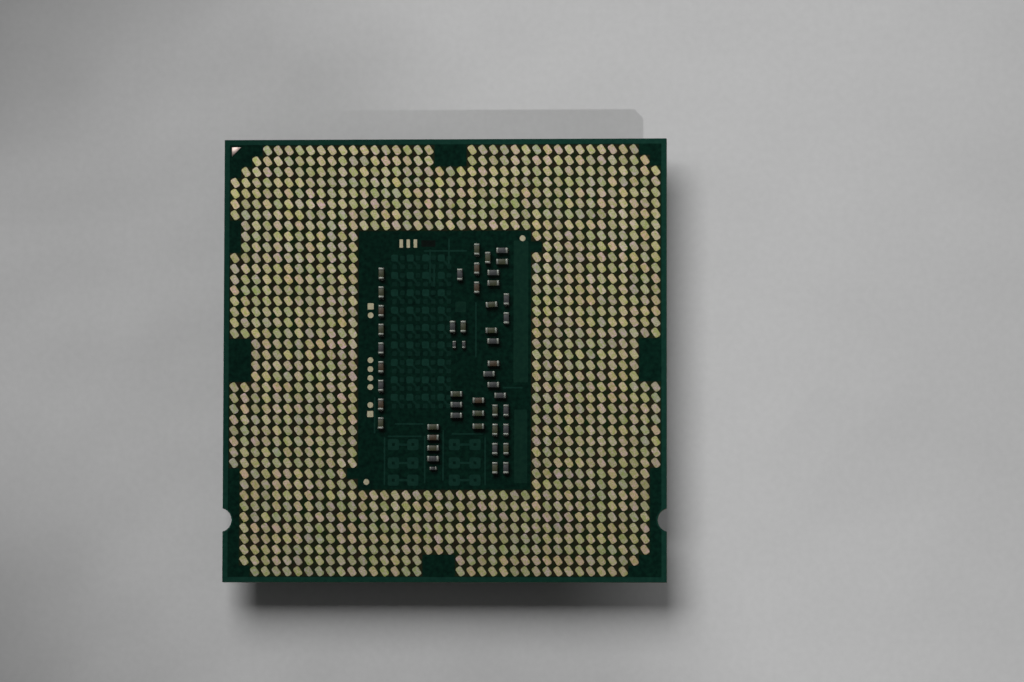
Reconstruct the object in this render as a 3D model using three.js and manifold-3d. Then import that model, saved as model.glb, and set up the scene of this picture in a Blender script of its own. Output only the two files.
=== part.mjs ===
// A desktop processor in a flat land-grid package, lying lid down with its contact lands up.
// Millimetres, +Z up. The origin is the centre of the lid's cooler face, which rests on the table.
// +Y points to the edge whose left corner carries the pin-one mark, and the two notches lie towards -Y.
import * as THREE from "three";
import { mergeVertices } from "three/addons/utils/BufferGeometryUtils.js";
import Module from "manifold-3d";

const wasm = await Module();
wasm.setup();

// Package outline
const PACKAGE_SIDE = 37.5;
const NOTCH_RADIUS = 1.0;
const NOTCH_CENTRE_OUTSIDE_EDGE = 0.24;
const NOTCH_FROM_FRONT_EDGE = 5.25;

// Laminated substrate, from the lid side to the land side
const DIE_SIDE_BUILDUP_THICKNESS = 0.18;
const CORE_THICKNESS = 0.8;
const LAND_SIDE_BUILDUP_THICKNESS = 0.19;

// Heat spreader: a raised plateau on a rim, and an ear to each side that the socket's frame presses on
const LID_HEIGHT = 3.0;
const LID_RIM_THICKNESS = 1.6;
const LID_MARGIN_AT_EARS = 1.95;
const LID_MARGIN_AT_ENDS = 3.25;
const EAR_REACH = 1.8;
const EAR_LENGTH = 18.0;
const EAR_CORNER_RADIUS = 0.8;
const RIM_STEP = 0.8;
const RIM_CORNER_RADIUS = 1.6;
const PLATEAU_CORNER_RADIUS = 1.2;
const SEALING_FACE_WIDTH = 2.6;
const POCKET_CORNER_RADIUS = 2.0;

// Sealant bead between the lid's sealing face and the substrate, open at one vent
const SEALANT_THICKNESS = 0.1;
const SEALANT_INSET = 0.4;
const VENT_WIDTH = 3.0;

// Die, and what fixes it to the substrate and couples it to the lid
const DIE_WIDTH = 8.3;
const DIE_END_CLEARANCE = 2.25;
const DIE_THICKNESS = 0.78;
const BUMP_GAP = 0.07;
const INTERFACE_THICKNESS = 0.1;
const INTERFACE_MARGIN = 0.5;
const UNDERFILL_SKIRT = 0.9;
const UNDERFILL_TOE = 0.1;
const UNDERFILL_CLIMB = 0.45;

// Contact lands: a square grid with cleared cells
const LAND_PITCH = 0.9144;
const LAND_THICKNESS = 0.03;
const LAND_EDGE_MARGIN = 0.9;
const CAVITY_COLUMNS = 16;
const CAVITY_ROWS = 24;
const KEY_GAP_COLUMNS = 3;
const KEY_GAP_DEPTH = 2;
const SIDE_GAP_ROWS = 4;
const SIDE_GAP_DEPTH = 2;
const EDGE_BREAK_FIRST_ROW = 7;
const EDGE_BREAK_ROWS = 3;
const NOTCH_CLEARANCE_ROWS = 10;
const FIDUCIAL_ROWS_FROM_EDGE = 9;
const CORNER_STEPS = { backLeft: 3, backRight: 2, frontLeft: 2, frontRight: 3 };

// Pin-one mark, a right-angled triangle in the back left corner
const PIN_ONE_LEG = 0.78;
const PIN_ONE_INSET = 0.63;

// Chip capacitors in the middle of the land side
const STANDARD_CHIP = { length: 1.0, width: 0.5, height: 0.5, terminal: 0.22, waist: 0.02 };
const SMALL_CHIP = { length: 0.6, width: 0.3, height: 0.3, terminal: 0.15, waist: 0.012 };
const ALONG_X = 0;
const ALONG_Y = Math.PI / 2;
const HAND_SET_TURN = THREE.MathUtils.degToRad(4);

// Steps in each half circle
const ARC_SEGMENTS = 6;
const WELD_DISTANCE = 1e-4;

// Heights that follow from the stack
const SUBSTRATE_BOTTOM = LID_HEIGHT + SEALANT_THICKNESS;
const CORE_BOTTOM = SUBSTRATE_BOTTOM + DIE_SIDE_BUILDUP_THICKNESS;
const CORE_TOP = CORE_BOTTOM + CORE_THICKNESS;
const LAND_SIDE = CORE_TOP + LAND_SIDE_BUILDUP_THICKNESS;
const RIM_UNDERSIDE = LID_HEIGHT - LID_RIM_THICKNESS;
const DIE_FRONT = SUBSTRATE_BOTTOM - BUMP_GAP;
const DIE_BACK = DIE_FRONT - DIE_THICKNESS;
const POCKET_FLOOR = DIE_BACK - INTERFACE_THICKNESS;

// Plan sizes that follow from the package and the lid's margins
const RIM_WIDTH = PACKAGE_SIDE - 2 * (LID_MARGIN_AT_EARS + EAR_REACH);
const RIM_LENGTH = PACKAGE_SIDE - 2 * LID_MARGIN_AT_ENDS;
const PIN_ONE_CORNER = PACKAGE_SIDE / 2 - PIN_ONE_INSET;
const POCKET_WIDTH = RIM_WIDTH - 2 * SEALING_FACE_WIDTH;
const POCKET_LENGTH = RIM_LENGTH - 2 * SEALING_FACE_WIDTH;
const DIE_LENGTH = POCKET_LENGTH - 2 * DIE_END_CLEARANCE;
const LANDS_PER_SIDE = Math.floor((PACKAGE_SIDE - 2 * LAND_EDGE_MARGIN) / LAND_PITCH) + 1;
const LAND_FIELD_SIDE = LANDS_PER_SIDE * LAND_PITCH;

const FINISH = {
  nickelPlate: { color: 0xb9b7b0, roughness: 0.35, metalness: 1.0 },
  sealant: { color: 0x1b1b1d, roughness: 0.7, metalness: 0.0 },
  thermalPaste: { color: 0x8d8f92, roughness: 0.6, metalness: 0.1 },
  silicon: { color: 0x3d434b, roughness: 0.15, metalness: 0.6 },
  underfillResin: { color: 0x2a2a26, roughness: 0.4, metalness: 0.0 },
  laminate: { color: 0x55633d, roughness: 0.7, metalness: 0.0 },
  solderMask: { color: 0x0d241c, roughness: 0.35, metalness: 0.0 },
  goldPlate: { color: 0xc9b27a, roughness: 0.35, metalness: 1.0 },
  greyChip: { color: 0x8b877c, roughness: 0.45, metalness: 0.2 },
  brownChip: { color: 0x7d6550, roughness: 0.45, metalness: 0.2 },
};

function rectangle(width, length) {
  const x = width / 2;
  const y = length / 2;
  return new THREE.Shape([
    new THREE.Vector2(-x, -y),
    new THREE.Vector2(x, -y),
    new THREE.Vector2(x, y),
    new THREE.Vector2(-x, y),
  ]);
}

function roundedRectangle(width, length, radius) {
  const x = width / 2 - radius;
  const y = length / 2 - radius;
  const quarter = Math.PI / 2;
  return new THREE.Shape()
    .absarc(x, -y, radius, -quarter, 0)
    .absarc(x, y, radius, 0, quarter)
    .absarc(-x, y, radius, quarter, 2 * quarter)
    .absarc(-x, -y, radius, 2 * quarter, 3 * quarter);
}

// A flat outline raised from one height to another.
function slab(outline, bottom, top) {
  const options = { depth: top - bottom, bevelEnabled: false, curveSegments: ARC_SEGMENTS };
  return new THREE.ExtrudeGeometry(outline, options).translate(0, 0, bottom);
}

function solidFrom(geometry) {
  const loose = geometry.index ? geometry.toNonIndexed() : geometry;
  const positions = new THREE.BufferGeometry().setAttribute("position", loose.getAttribute("position"));
  const welded = mergeVertices(positions, WELD_DISTANCE);
  const mesh = new wasm.Mesh({
    numProp: 3,
    vertProperties: welded.getAttribute("position").array,
    triVerts: new Uint32Array(welded.index.array),
  });
  return new wasm.Manifold(mesh);
}

function geometryFrom(solid) {
  const mesh = solid.getMesh();
  const geometry = new THREE.BufferGeometry();
  geometry.setAttribute("position", new THREE.BufferAttribute(mesh.vertProperties, 3));
  geometry.setIndex(new THREE.BufferAttribute(mesh.triVerts, 1));
  geometry.computeVertexNormals();
  return geometry;
}

function named(name, geometry, finish) {
  const mesh = new THREE.Mesh(geometry, new THREE.MeshStandardMaterial(finish));
  mesh.name = name;
  return mesh;
}

// The lid's outer solid, the plateau on its rim with both ears, less the pocket over the die.
function heatSpreader() {
  const plateau = roundedRectangle(
    RIM_WIDTH - 2 * RIM_STEP,
    RIM_LENGTH - 2 * RIM_STEP,
    PLATEAU_CORNER_RADIUS,
  );
  const rim = roundedRectangle(RIM_WIDTH, RIM_LENGTH, RIM_CORNER_RADIUS);
  const ears = roundedRectangle(RIM_WIDTH + 2 * EAR_REACH, EAR_LENGTH, EAR_CORNER_RADIUS);
  const pocket = roundedRectangle(POCKET_WIDTH, POCKET_LENGTH, POCKET_CORNER_RADIUS);
  const lid = solidFrom(slab(plateau, 0, POCKET_FLOOR))
    .add(solidFrom(slab(rim, RIM_UNDERSIDE, LID_HEIGHT)))
    .add(solidFrom(slab(ears, RIM_UNDERSIDE, LID_HEIGHT)))
    .subtract(solidFrom(slab(pocket, POCKET_FLOOR, SUBSTRATE_BOTTOM)));
  return named("heat_spreader", geometryFrom(lid), FINISH.nickelPlate);
}

// A flat bead round the lid's sealing face, with a vent towards -Y so the pocket can breathe.
function lidSealant() {
  const outerWidth = RIM_WIDTH - 2 * SEALANT_INSET;
  const outerLength = RIM_LENGTH - 2 * SEALANT_INSET;
  const outer = roundedRectangle(outerWidth, outerLength, RIM_CORNER_RADIUS);
  const innerWidth = POCKET_WIDTH + 2 * SEALANT_INSET;
  const innerLength = POCKET_LENGTH + 2 * SEALANT_INSET;
  const inner = roundedRectangle(innerWidth, innerLength, POCKET_CORNER_RADIUS);
  const vent = rectangle(VENT_WIDTH, outerLength);
  const ring = solidFrom(slab(outer, LID_HEIGHT, SUBSTRATE_BOTTOM));
  const hole = solidFrom(slab(inner, RIM_UNDERSIDE, CORE_BOTTOM));
  const gap = solidFrom(slab(vent, RIM_UNDERSIDE, CORE_BOTTOM).translate(0, -outerLength / 2, 0));
  return named("lid_sealant", geometryFrom(ring.subtract(hole).subtract(gap)), FINISH.sealant);
}

function thermalInterface() {
  const outline = rectangle(DIE_WIDTH + 2 * INTERFACE_MARGIN, DIE_LENGTH + 2 * INTERFACE_MARGIN);
  return named("thermal_interface", slab(outline, POCKET_FLOOR, DIE_BACK), FINISH.thermalPaste);
}

function die() {
  return named("die", slab(rectangle(DIE_WIDTH, DIE_LENGTH), DIE_BACK, DIE_FRONT), FINISH.silicon);
}

// Resin under the die that swells into a sloping skirt round its sides.
function underfill() {
  const height = BUMP_GAP + UNDERFILL_CLIMB;
  const footWidth = DIE_WIDTH + 2 * UNDERFILL_SKIRT;
  const footLength = DIE_LENGTH + 2 * UNDERFILL_SKIRT;
  const skirt = new THREE.BoxGeometry(footWidth, footLength, height);
  const corners = skirt.getAttribute("position");
  for (let corner = 0; corner < corners.count; corner++) {
    if (corners.getZ(corner) > 0) continue;
    corners.setX(corner, (Math.sign(corners.getX(corner)) * (DIE_WIDTH + 2 * UNDERFILL_TOE)) / 2);
    corners.setY(corner, (Math.sign(corners.getY(corner)) * (DIE_LENGTH + 2 * UNDERFILL_TOE)) / 2);
  }
  skirt.translate(0, 0, SUBSTRATE_BOTTOM - height / 2);
  const seat = slab(rectangle(DIE_WIDTH, DIE_LENGTH), 0, DIE_FRONT);
  const resin = solidFrom(skirt).subtract(solidFrom(seat));
  return named("underfill", geometryFrom(resin), FINISH.underfillResin);
}

// The package's square outline with a round-bottomed notch in its left and right edges.
function packageOutline() {
  const edge = PACKAGE_SIDE / 2;
  const notchY = NOTCH_FROM_FRONT_EDGE - edge;
  const notchX = edge + NOTCH_CENTRE_OUTSIDE_EDGE;
  const half = Math.acos(NOTCH_CENTRE_OUTSIDE_EDGE / NOTCH_RADIUS);
  return new THREE.Shape()
    .moveTo(-edge, -edge)
    .lineTo(edge, -edge)
    .absarc(notchX, notchY, NOTCH_RADIUS, half - Math.PI, -half - Math.PI, true)
    .lineTo(edge, edge)
    .lineTo(-edge, edge)
    .absarc(-notchX, notchY, NOTCH_RADIUS, half, -half, true);
}

function substrate() {
  const outline = packageOutline();
  const layers = new THREE.Group();
  layers.add(
    named("die_side_buildup", slab(outline, SUBSTRATE_BOTTOM, CORE_BOTTOM), FINISH.solderMask),
    named("core_laminate", slab(outline, CORE_BOTTOM, CORE_TOP), FINISH.laminate),
    named("land_side_buildup", slab(outline, CORE_TOP, LAND_SIDE), FINISH.solderMask),
  );
  return layers;
}

// Cells of the land grid without a land, as first column, first row, columns and rows from the back left.
function clearedCells() {
  const last = LANDS_PER_SIDE - 1;
  const centre = Math.floor(LANDS_PER_SIDE / 2);
  const cells = [
    [centre - CAVITY_COLUMNS / 2, centre - CAVITY_ROWS / 2, CAVITY_COLUMNS, CAVITY_ROWS],
    [centre + CAVITY_COLUMNS / 2, FIDUCIAL_ROWS_FROM_EDGE, 1, 1],
    [centre - CAVITY_COLUMNS / 2 - 1, last - FIDUCIAL_ROWS_FROM_EDGE, 1, 1],
    [centre - 1, 0, KEY_GAP_COLUMNS, KEY_GAP_DEPTH],
    [centre + 1 - KEY_GAP_COLUMNS, LANDS_PER_SIDE - KEY_GAP_DEPTH, KEY_GAP_COLUMNS, KEY_GAP_DEPTH],
    [0, centre - SIDE_GAP_ROWS / 2, SIDE_GAP_DEPTH, SIDE_GAP_ROWS],
    [LANDS_PER_SIDE - SIDE_GAP_DEPTH, centre - SIDE_GAP_ROWS / 2, SIDE_GAP_DEPTH, SIDE_GAP_ROWS],
    [0, EDGE_BREAK_FIRST_ROW, 1, EDGE_BREAK_ROWS],
    [0, LANDS_PER_SIDE - NOTCH_CLEARANCE_ROWS, 1, NOTCH_CLEARANCE_ROWS],
    [last, LANDS_PER_SIDE - NOTCH_CLEARANCE_ROWS, 1, NOTCH_CLEARANCE_ROWS],
  ];
  const steps = (size, toColumn, toRow) => {
    for (let step = 0; step < size; step++) {
      const count = size - step;
      cells.push([toColumn(count), toRow(step), count, 1]);
    }
  };
  const fromLeft = () => 0;
  const fromRight = (count) => LANDS_PER_SIDE - count;
  const fromBack = (step) => step;
  const fromFront = (step) => last - step;
  steps(CORNER_STEPS.backLeft, fromLeft, fromBack);
  steps(CORNER_STEPS.backRight, fromRight, fromBack);
  steps(CORNER_STEPS.frontLeft, fromLeft, fromFront);
  steps(CORNER_STEPS.frontRight, fromRight, fromFront);
  return cells;
}

// The outline of a block of cells, whose edges fall on the grid lines between the lands.
function cellBlock([column, row, columns, rows]) {
  const line = (index) => index * LAND_PITCH - LAND_FIELD_SIDE / 2;
  return new THREE.Shape([
    new THREE.Vector2(line(column), -line(row + rows)),
    new THREE.Vector2(line(column + columns), -line(row + rows)),
    new THREE.Vector2(line(column + columns), -line(row)),
    new THREE.Vector2(line(column), -line(row)),
  ]);
}

// One plate as thick as the lands, covering every cell that holds a land.
function landField() {
  const top = LAND_SIDE + LAND_THICKNESS;
  const whole = slab(cellBlock([0, 0, LANDS_PER_SIDE, LANDS_PER_SIDE]), LAND_SIDE, top);
  let field = solidFrom(whole);
  for (const cells of clearedCells()) {
    field = field.subtract(solidFrom(slab(cellBlock(cells), CORE_TOP, top + LAND_THICKNESS)));
  }
  return named("land_field", geometryFrom(field), FINISH.goldPlate);
}

function pinOneMark() {
  const triangle = new THREE.Shape([
    new THREE.Vector2(-PIN_ONE_CORNER, PIN_ONE_CORNER),
    new THREE.Vector2(-PIN_ONE_CORNER, PIN_ONE_CORNER - PIN_ONE_LEG),
    new THREE.Vector2(PIN_ONE_LEG - PIN_ONE_CORNER, PIN_ONE_CORNER),
  ]);
  return named("pin_one_mark", slab(triangle, LAND_SIDE, LAND_SIDE + LAND_THICKNESS), FINISH.goldPlate);
}

// Plan of a chip capacitor along X, its body a little narrower than its two plated ends.
function chipOutline({ length, width, terminal, waist }) {
  const end = length / 2;
  const inner = end - terminal;
  const wide = width / 2;
  const narrow = wide - waist;
  const quarter = [[end, wide], [inner, wide], [inner, narrow]];
  const half = [...quarter, ...quarter.map(([x, y]) => [-x, y]).reverse()];
  const outline = [...half, ...half.map(([x, y]) => [-x, -y])];
  return new THREE.Shape(outline.map(([x, y]) => new THREE.Vector2(x, y)));
}

// Each bank starts at its first chip's centre and repeats it by one step.
const BANKS = [
  { name: "west", turn: ALONG_Y, first: [-5.35, 7.3], step: [0, -1.583], count: 9 },
  { name: "north", turn: ALONG_Y, first: [2.73, 9.33], step: [0, -1.615], count: 3, finish: FINISH.brownChip },
  { name: "north_inner", turn: ALONG_Y, first: [1.3, 7.2], step: [2.36, 1.42], count: 2 },
  { name: "northeast_back", turn: ALONG_X, first: [4.87, 9.24], step: [0, -0.95], count: 2 },
  { name: "northeast", turn: ALONG_X, first: [4.13, 7.36], step: [0, -0.88], count: 2 },
  { name: "east_back", turn: ALONG_Y, first: [5.24, 5.1], step: [0, -1.6], count: 2 },
  { name: "turned", turn: HAND_SET_TURN, first: [3.99, 4.66], step: [0, 0], count: 1 },
  { name: "centre_back", turn: ALONG_Y, first: [0.7, 2.79], step: [0.9, 0], count: 2 },
  { name: "centre_small", turn: ALONG_Y, first: [0.83, 1.28], step: [0.81, 0], count: 2, chip: SMALL_CHIP },
  { name: "east", turn: ALONG_X, first: [3.97, 2.47], step: [0.16, -0.91], count: 2 },
  { name: "east_front", turn: ALONG_X, first: [4.16, -0.33], step: [-0.37, -0.88], count: 2 },
  { name: "east_foot", turn: ALONG_X, first: [4.15, -2.12], step: [0.59, -0.91], count: 2 },
  { name: "centre", turn: ALONG_X, first: [1.04, -2.9], step: [0, -0.905], count: 3 },
  { name: "centre_east", turn: ALONG_X, first: [2.9, -3.44], step: [0, -1.095], count: 3 },
  { name: "southeast", turn: ALONG_Y, first: [4.3, -4.3], step: [0, -1.617], count: 4 },
  { name: "southeast_edge", turn: ALONG_Y, first: [5.23, -4.3], step: [0, -1.617], count: 4 },
  { name: "south", turn: ALONG_X, first: [-0.92, -5.68], step: [0, -0.893], count: 4 },
  { name: "south_small", turn: ALONG_X, first: [-0.92, -9.17], step: [0, 0], count: 1, chip: SMALL_CHIP },
];

function capacitorBank({ name, turn, first, step, count, chip = STANDARD_CHIP, finish = FINISH.greyChip }) {
  const bank = new THREE.Group();
  for (let index = 0; index < count; index++) {
    const body = slab(chipOutline(chip), 0, chip.height);
    const capacitor = named(`capacitor_${name}_${index + 1}`, body, finish);
    capacitor.position.set(first[0] + index * step[0], first[1] + index * step[1], LAND_SIDE);
    capacitor.rotation.z = turn;
    bank.add(capacitor);
  }
  return bank;
}

const processor = new THREE.Group();
processor.add(heatSpreader(), lidSealant(), thermalInterface(), die(), underfill(), substrate());
processor.add(landField(), pinOneMark(), ...BANKS.map(capacitorBank));

export default processor;
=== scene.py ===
# %% [markdown]
# # A desktop processor, lying with its lands up
# A processor of this kind is a flat sandwich. A stepped copper lid is glued over a bare silicon
# die, the die is soldered to a thin laminated board, and the far side of that board carries more
# than a thousand gold contact lands with a cleared middle full of tiny capacitors. Here it lies
# lid down, as it does on a bench, so the lands face the camera.
#
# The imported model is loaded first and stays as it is. Every piece below takes its place from it.

# %% Load the fixed model
import math

import bmesh
import bpy
from mathutils import Matrix, Vector
from mathutils.bvhtree import BVHTree


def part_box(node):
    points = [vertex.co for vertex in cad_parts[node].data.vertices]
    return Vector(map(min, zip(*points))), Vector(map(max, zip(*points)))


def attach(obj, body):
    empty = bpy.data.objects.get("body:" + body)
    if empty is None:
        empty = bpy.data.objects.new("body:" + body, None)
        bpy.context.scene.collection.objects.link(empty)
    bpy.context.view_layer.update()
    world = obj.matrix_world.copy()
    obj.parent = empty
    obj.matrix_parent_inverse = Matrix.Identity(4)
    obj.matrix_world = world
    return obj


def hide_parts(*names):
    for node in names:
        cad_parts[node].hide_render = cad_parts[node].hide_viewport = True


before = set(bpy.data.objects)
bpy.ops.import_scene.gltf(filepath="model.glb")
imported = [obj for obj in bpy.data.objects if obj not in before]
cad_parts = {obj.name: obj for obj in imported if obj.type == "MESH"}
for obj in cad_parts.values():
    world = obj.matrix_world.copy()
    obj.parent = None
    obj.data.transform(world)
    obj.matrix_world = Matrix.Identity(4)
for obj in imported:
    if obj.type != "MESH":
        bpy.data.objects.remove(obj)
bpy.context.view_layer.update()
print("nodes loaded:", len(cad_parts))

# %% [markdown]
# The meshes below are drawn in millimetres, because every size on a chip is a fraction of one, and
# are scaled to Blender's metres once, when a piece is finished. Patterns in the materials need the
# same unit, so a size in metres is always a count of MM.

# %% Units and places
MM = 0.001


def box_mm(node):
    low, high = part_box(node)
    return low / MM, high / MM


lid_low, lid_high = box_mm("heat_spreader")
board_high = box_mm("land_side_buildup")[1]
land_side = board_high.z
print(f"board {2 * board_high.x:.2f} mm square, land side {land_side:.2f} mm above the table")

# %% [markdown]
# ## The camera
# The view is almost straight down, from a little to the right and to the front, through a long
# lens nearly half a metre away. A long lens keeps the rows of lands parallel. The object is small
# and the camera is close, so the near clip distance comes down with it.

# %% Camera
EYE = Vector((27.9, -28.5, 424.6))
LOOKS_AT = Vector((5.70, 1.60, land_side))
ROLL = math.radians(0.107)
SENSOR_WIDTH = 36.0
LENS = 175.8
NEAR_CLIP = 10 * MM
FAR_CLIP = 20.0

camera_data = bpy.data.cameras.new("camera")
camera_data.sensor_width = SENSOR_WIDTH
camera_data.lens = LENS
camera_data.clip_start = NEAR_CLIP
camera_data.clip_end = FAR_CLIP
camera = bpy.data.objects.new("camera", camera_data)
back = (EYE - LOOKS_AT).normalized()
right = Vector((0, 1, 0)).cross(back).normalized()
aim = Matrix((right, back.cross(right), back)).transposed().to_4x4()
camera.matrix_world = Matrix.Translation(EYE * MM) @ aim @ Matrix.Rotation(ROLL, 4, "Z")
bpy.context.scene.collection.objects.link(camera)
bpy.context.scene.camera = camera
print(f"camera {(LOOKS_AT - EYE).length:.0f} mm away")

# %% [markdown]
# ## Helpers for materials
# Colours are written as the hex values that a picture editor shows, which are not linear, so one
# function turns them linear. One more function adds a node: it sets what it is given, whether that
# is a socket or a property of the node, and links the rest. A material starts empty and is closed
# with its shader, once the patterns that feed the shader are there.

# %% Colour and node helpers
def linear(hex_colour):
    values = [int(hex_colour[start:start + 2], 16) / 255 for start in (1, 3, 5)]
    return [v / 12.92 if v <= 0.04045 else ((v + 0.055) / 1.055) ** 2.4 for v in values] + [1.0]


def add(material, kind, settings=None, links=None):
    node = material.node_tree.nodes.new(kind)
    for name, value in (settings or {}).items():
        if isinstance(name, int) or name in node.inputs:
            node.inputs[name].default_value = value
        else:
            setattr(node, name, value)
    for name, source in (links or {}).items():
        material.node_tree.links.new(source, node.inputs[name])
    return node


def empty_material(name):
    material = bpy.data.materials.new(name)
    material.use_nodes = True
    material.node_tree.nodes.clear()
    return material


def close_material(material, settings, links=None):
    shader = add(material, "ShaderNodeBsdfPrincipled", settings, links)
    add(material, "ShaderNodeOutputMaterial", links={"Surface": shader.outputs["BSDF"]})
    print("made", material.name)
    return material


# %% [markdown]
# Almost every finish here is mottled at some scale, so three patterns serve them all. The first is
# a field of soft blotches: a noise over the piece's own coordinates, where the size is that of one
# blotch in millimetres, and low and high are the values that it runs between. A noise seldom
# leaves the range from 0.3 to 0.7, so that range is the one spread over them. The second mixes two
# colours by such a field. The Mix node keeps other sockets for each kind of value, and those for
# colours are its inputs 6 and 7 and its output 2. The third turns such a field into a relief of a
# real depth.

# %% Mottled patterns
NOISE_LOW, NOISE_HIGH = 0.3, 0.7
NO_STRETCH = (1.0, 1.0, 1.0)
MIX_FIRST, MIX_SECOND, MIXED = 6, 7, 2


def blotches(material, size_mm, low=0.0, high=1.0, detail=3.0, stretch=NO_STRETCH):
    place = add(material, "ShaderNodeTexCoord").outputs["Object"]
    stretched = add(material, "ShaderNodeMapping", {"Scale": stretch}, {"Vector": place})
    settings = {"Scale": 1.0 / (size_mm * MM), "Detail": detail}
    field = add(material, "ShaderNodeTexNoise", settings, {"Vector": stretched.outputs[0]})
    limits = {"From Min": NOISE_LOW, "From Max": NOISE_HIGH, "To Min": low, "To Max": high}
    return add(material, "ShaderNodeMapRange", limits, {"Value": field.outputs[0]}).outputs[0]


def two_tones(material, dark, light, size_mm, detail=3.0, stretch=NO_STRETCH):
    share = blotches(material, size_mm, detail=detail, stretch=stretch)
    settings = {"data_type": "RGBA", MIX_FIRST: linear(dark), MIX_SECOND: linear(light)}
    return add(material, "ShaderNodeMix", settings, {0: share}).outputs[MIXED]


def relief(material, depth_mm, **field):
    settings = {"Strength": 1.0, "Distance": depth_mm * MM}
    links = {"Height": blotches(material, **field)}
    return add(material, "ShaderNodeBump", settings, links).outputs["Normal"]


print("white in linear light:", linear("#ffffff"))

# %% [markdown]
# Most finishes then are one call: two tones, blotches of a real size, a finer grain in relief and,
# where the gloss is uneven too, the two roughnesses that it runs between. The grain of plating and
# of fired ceramic is really a few thousandths of a millimetre. That would never show, so it is
# drawn ten times as coarse, at a twentieth of a millimetre.

# %% A mottled finish
def mottled(name, settings, tones, size_mm, grain_mm, depth_mm, rough=None, detail=3.0):
    material = empty_material(name)
    links = {
        "Base Color": two_tones(material, *tones, size_mm, detail),
        "Normal": relief(material, depth_mm, size_mm=grain_mm),
    }
    if rough:
        links["Roughness"] = blotches(material, size_mm / 2, *rough)
    return close_material(material, settings, links)


# %% [markdown]
# ## Gold plate
# The lands are copper, plated with nickel and a thin electrolytic gold. The plating bath leaves a
# matt, slightly grainy skin, so it takes the window's light as a soft glow and not as a mirror
# would. No two lands have quite the same cast: some are pinkish, some greenish, some pale. A white
# noise over the land's own grid cell gives each land its own red, green and blue between two
# limits, and one more random value makes it lighter or darker. Inside a land the plating wears
# from yellow to a whiter, pinker tone.

# %% Gold plate
METAL = {"Metallic": 1.0}
LAND_PITCH = 0.9144
CAST_LOW = "#ece4c2"
CAST_HIGH = "#fef6df"
WEAR_BLOTCH = 0.2
YELLOW_WEAR = "#e6f4a8"
PINK_WEAR = "#ffeeff"
LAND_SHADE = (0.8, 1.0)
GRAIN_SHADE = (0.74, 1.0)
GOLD_ROUGHNESS = (0.36, 0.43)
PLATE_GRAIN = 0.06
PLATE_RELIEF = 0.0004


def electroplated_gold():
    material = empty_material("electroplated_gold")
    place = add(material, "ShaderNodeTexCoord").outputs["Object"]
    pitch = [LAND_PITCH * MM] * 3
    cell = add(material, "ShaderNodeVectorMath", {"operation": "DIVIDE", 1: pitch}, {0: place})
    whole = add(material, "ShaderNodeVectorMath", {"operation": "FLOOR"}, {0: cell.outputs[0]})
    random = add(material, "ShaderNodeTexWhiteNoise", links={"Vector": whole.outputs[0]})
    low, high = linear(CAST_LOW)[:3], linear(CAST_HIGH)[:3]
    spread = [top - bottom for bottom, top in zip(low, high)]
    settings = {"operation": "MULTIPLY_ADD", 1: spread, 2: low}
    links = {0: random.outputs["Color"]}
    colour = add(material, "ShaderNodeVectorMath", settings, links).outputs[0]
    darkest, lightest = LAND_SHADE
    limits = {"To Min": darkest, "To Max": lightest}
    shade = add(material, "ShaderNodeMapRange", limits, {"Value": random.outputs["Value"]})
    factors = [
        shade.outputs[0],
        two_tones(material, YELLOW_WEAR, PINK_WEAR, WEAR_BLOTCH),
        blotches(material, WEAR_BLOTCH / 2, *GRAIN_SHADE),
    ]
    settings = {"operation": "MULTIPLY"}
    for factor in factors:
        links = {0: colour, 1: factor}
        colour = add(material, "ShaderNodeVectorMath", settings, links).outputs[0]
    return close_material(material, METAL, {
        "Base Color": colour,
        "Roughness": blotches(material, WEAR_BLOTCH, *GOLD_ROUGHNESS),
        "Normal": relief(material, PLATE_RELIEF, size_mm=PLATE_GRAIN),
    })


gold = electroplated_gold()

# %% [markdown]
# The test pads are plated too, but no contact ever wipes them, so they stay even and a little
# matter. The pin-one mark gets its own paler, pinker gold, nearly silver with a hint of pink: that
# paleness is a painted highlight, standing for the light that its broad flat face catches.

# %% Pale golds
pad_gold = mottled(
    "flash_gold", METAL, ("#bcb694", "#cbc5aa"),
    size_mm=0.2, grain_mm=PLATE_GRAIN, depth_mm=PLATE_RELIEF, rough=(0.4, 0.48),
)
# Painted highlight: the mark's paler, pinker gold stands for light on its broad flat face.
mark_gold_painted_highlight = mottled(
    "pale_flash_gold_painted_highlight", METAL, ("#c4afa8", "#cfbbb3"),
    size_mm=0.3, grain_mm=PLATE_GRAIN, depth_mm=PLATE_RELIEF, rough=(0.46, 0.52),
)

# %% [markdown]
# ## Solder mask
# The board is coated with a dark green epoxy, the solder mask. It is a glossy film, and what lies
# under it changes its colour: over bare laminate it looks teal and lighter, over a copper plane it
# is nearly black, and over a single pad or trace it is a little lighter again. Between the lands
# the copper is so dense that the film looks brown in one place and green in the next. The laser
# that marks a board burns the film darker. One function makes all of these from their two tones.
# The mottling is the film's own uneven thickness.

# %% Solder mask
MASK_GLOSS = {"Roughness": 0.16, "IOR": 1.5, "Specular IOR Level": 0.2}


def solder_mask(where, dark, light, size_mm=0.35):
    return mottled(
        f"solder_mask_{where}", MASK_GLOSS, (dark, light),
        size_mm, grain_mm=0.15, depth_mm=0.0008, detail=5.0,
    )


mask_on_plane = solder_mask("over_copper_plane", "#011913", "#082b20")
mask_on_laminate = solder_mask("over_laminate", "#0f342b", "#173d32")
mask_on_square = solder_mask("over_square_pad", "#10342a", "#173c32")
mask_on_trace = solder_mask("over_trace", "#0f3128", "#16392f")
mask_on_pour = solder_mask("over_pour", "#0c2c23", "#143529")
mask_on_via = solder_mask("over_via", "#0b2b22", "#12332a")
mask_between_lands = solder_mask("between_lands", "#122810", "#2c231a", size_mm=0.5)
mask_marked = solder_mask("burnt_by_laser", "#0a120e", "#121a16")

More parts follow.
